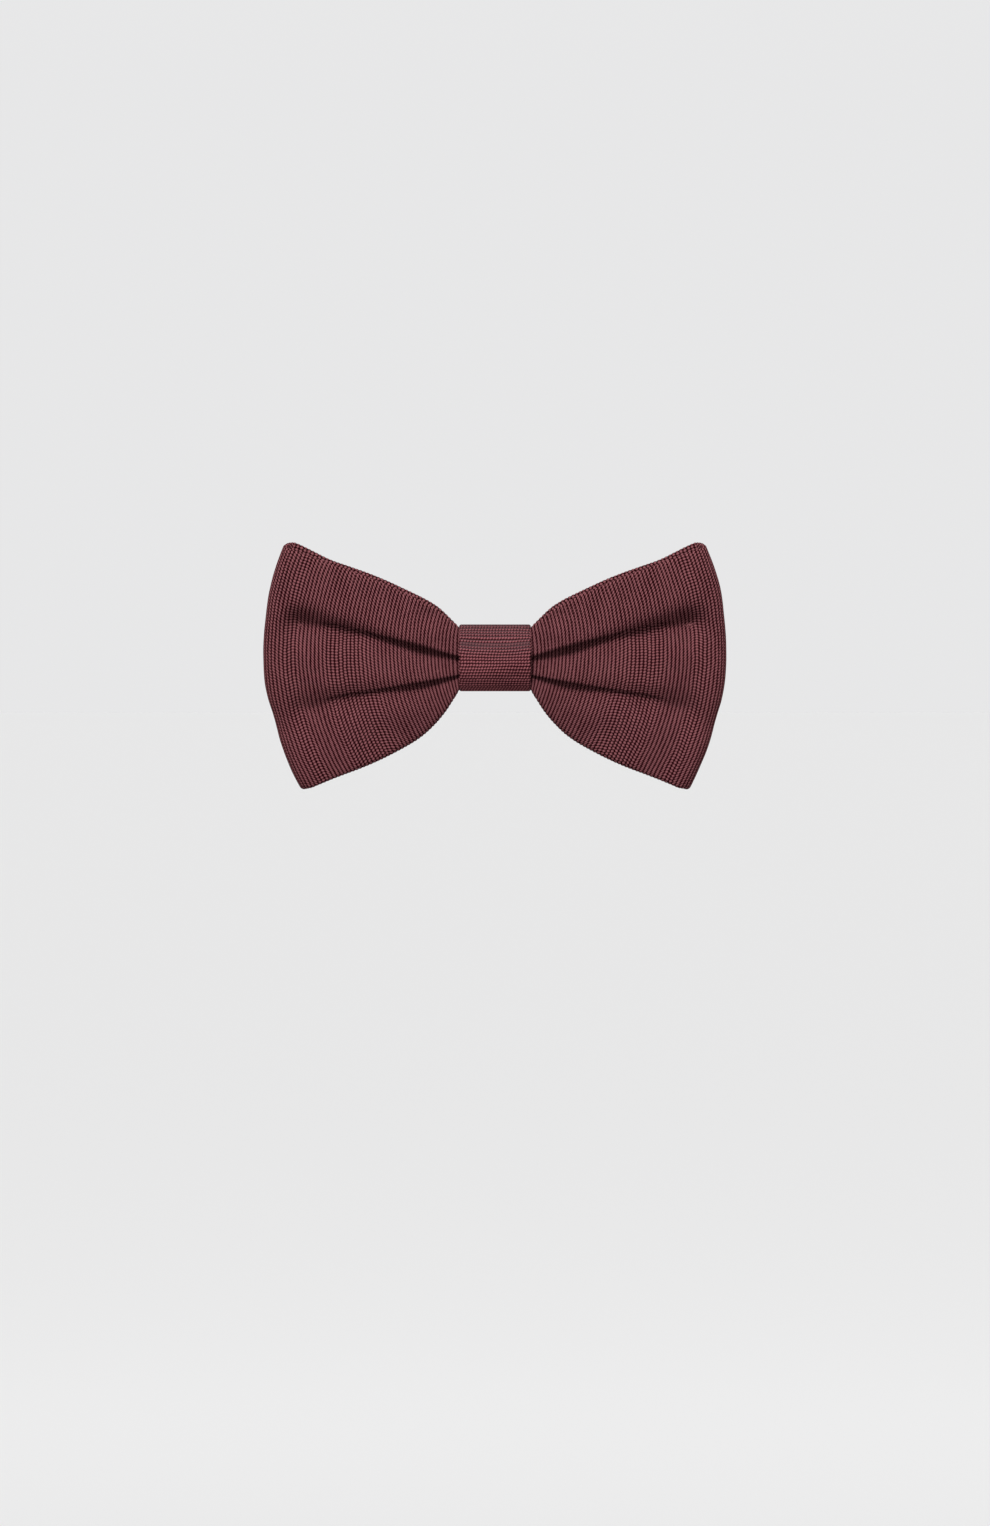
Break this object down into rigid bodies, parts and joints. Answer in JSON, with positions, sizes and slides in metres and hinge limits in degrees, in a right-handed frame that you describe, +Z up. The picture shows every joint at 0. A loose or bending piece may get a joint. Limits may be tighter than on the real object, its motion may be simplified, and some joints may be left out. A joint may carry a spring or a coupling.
{
  "type": "bow tie",
  "caption": "Pre-tied pleated bow tie in ribbed silk with a knot wrap, on an adjustable neckband closed by a hook and eye clasp.",
  "frame": {"origin": "centre of the knot's flat back, the face that rests on the shirt's collar button", "axes": "+Z up as worn, +Y towards the wearer's neck, +X to the viewer's right when facing the bow"},
  "size_m": [0.1216, 0.1441, 0.0647],
  "materials": {
    "silk": "ribbed silk, soft sheen, burgundy",
    "interlining": "plain woven canvas, off-white",
    "thread": "sewing thread, burgundy",
    "metal": "nickel plated steel stamping"
  },
  "bodies": {
    "bow_core": {"knot_wrap": "silk", "wrap_closing_stitch": "thread", "knot_interlining": "interlining", "pleat_core": "silk", "gather_binding": "thread", "neckband_shell": "silk", "neckband_interlining": "interlining"},
    "left_wing": {"left_wing_shell": "silk", "left_wing_interlining": "interlining"},
    "right_wing": {"right_wing_shell": "silk", "right_wing_interlining": "interlining"},
    "hook_end": {"strap_end_shell": "silk", "strap_end_interlining": "interlining", "strap_tail": "silk"},
    "slider": {"length_slider": "metal", "tail_bar_tack": "thread"},
    "hook": {"clasp_hook": "metal"},
    "eye_end": {"fixed_end_shell": "silk", "fixed_end_interlining": "interlining", "eye_loop_tack": "thread"},
    "eye": {"clasp_eye": "metal"}
  },
  "joints": [
    {"name": "left_wing_flex", "type": "hinge", "parent": "bow_core", "child": "left_wing", "pos_m": [-0.0105, -0.0092, 0], "axis": [0, 0, 1], "range_deg": [-10, 10], "stiffness_Nm_per_rad": 0.02},
    {"name": "right_wing_flex", "type": "hinge", "parent": "bow_core", "child": "right_wing", "pos_m": [0.0105, -0.0092, 0], "axis": [0, 0, 1], "range_deg": [-10, 10], "stiffness_Nm_per_rad": 0.02},
    {"name": "hook_end_swing", "type": "hinge", "parent": "bow_core", "child": "hook_end", "pos_m": [-0.05207, 0.09318, 0], "axis": [0, 0, 1], "range_deg": [0, 60]},
    {"name": "slider_travel", "type": "hinge", "parent": "hook_end", "child": "slider", "pos_m": [0, 0.07, 0], "axis": [0, 0, 1], "range_deg": [-12, 12], "deforming": ["strap_tail"]},
    {"name": "hook_swing", "type": "hinge", "parent": "hook_end", "child": "hook", "pos_m": [-0.0099, 0.12613, 0], "axis": [0, 0, 1], "range_deg": [0, 50]},
    {"name": "eye_end_swing", "type": "hinge", "parent": "bow_core", "child": "eye_end", "pos_m": [0.03814, 0.11236, 0], "axis": [0, 0, 1], "range_deg": [0, 35]},
    {"name": "eye_swing", "type": "hinge", "parent": "eye_end", "child": "eye", "pos_m": [0.0091, 0.12613, 0], "axis": [0, 0, 1], "range_deg": [0, 50]}
  ]
}
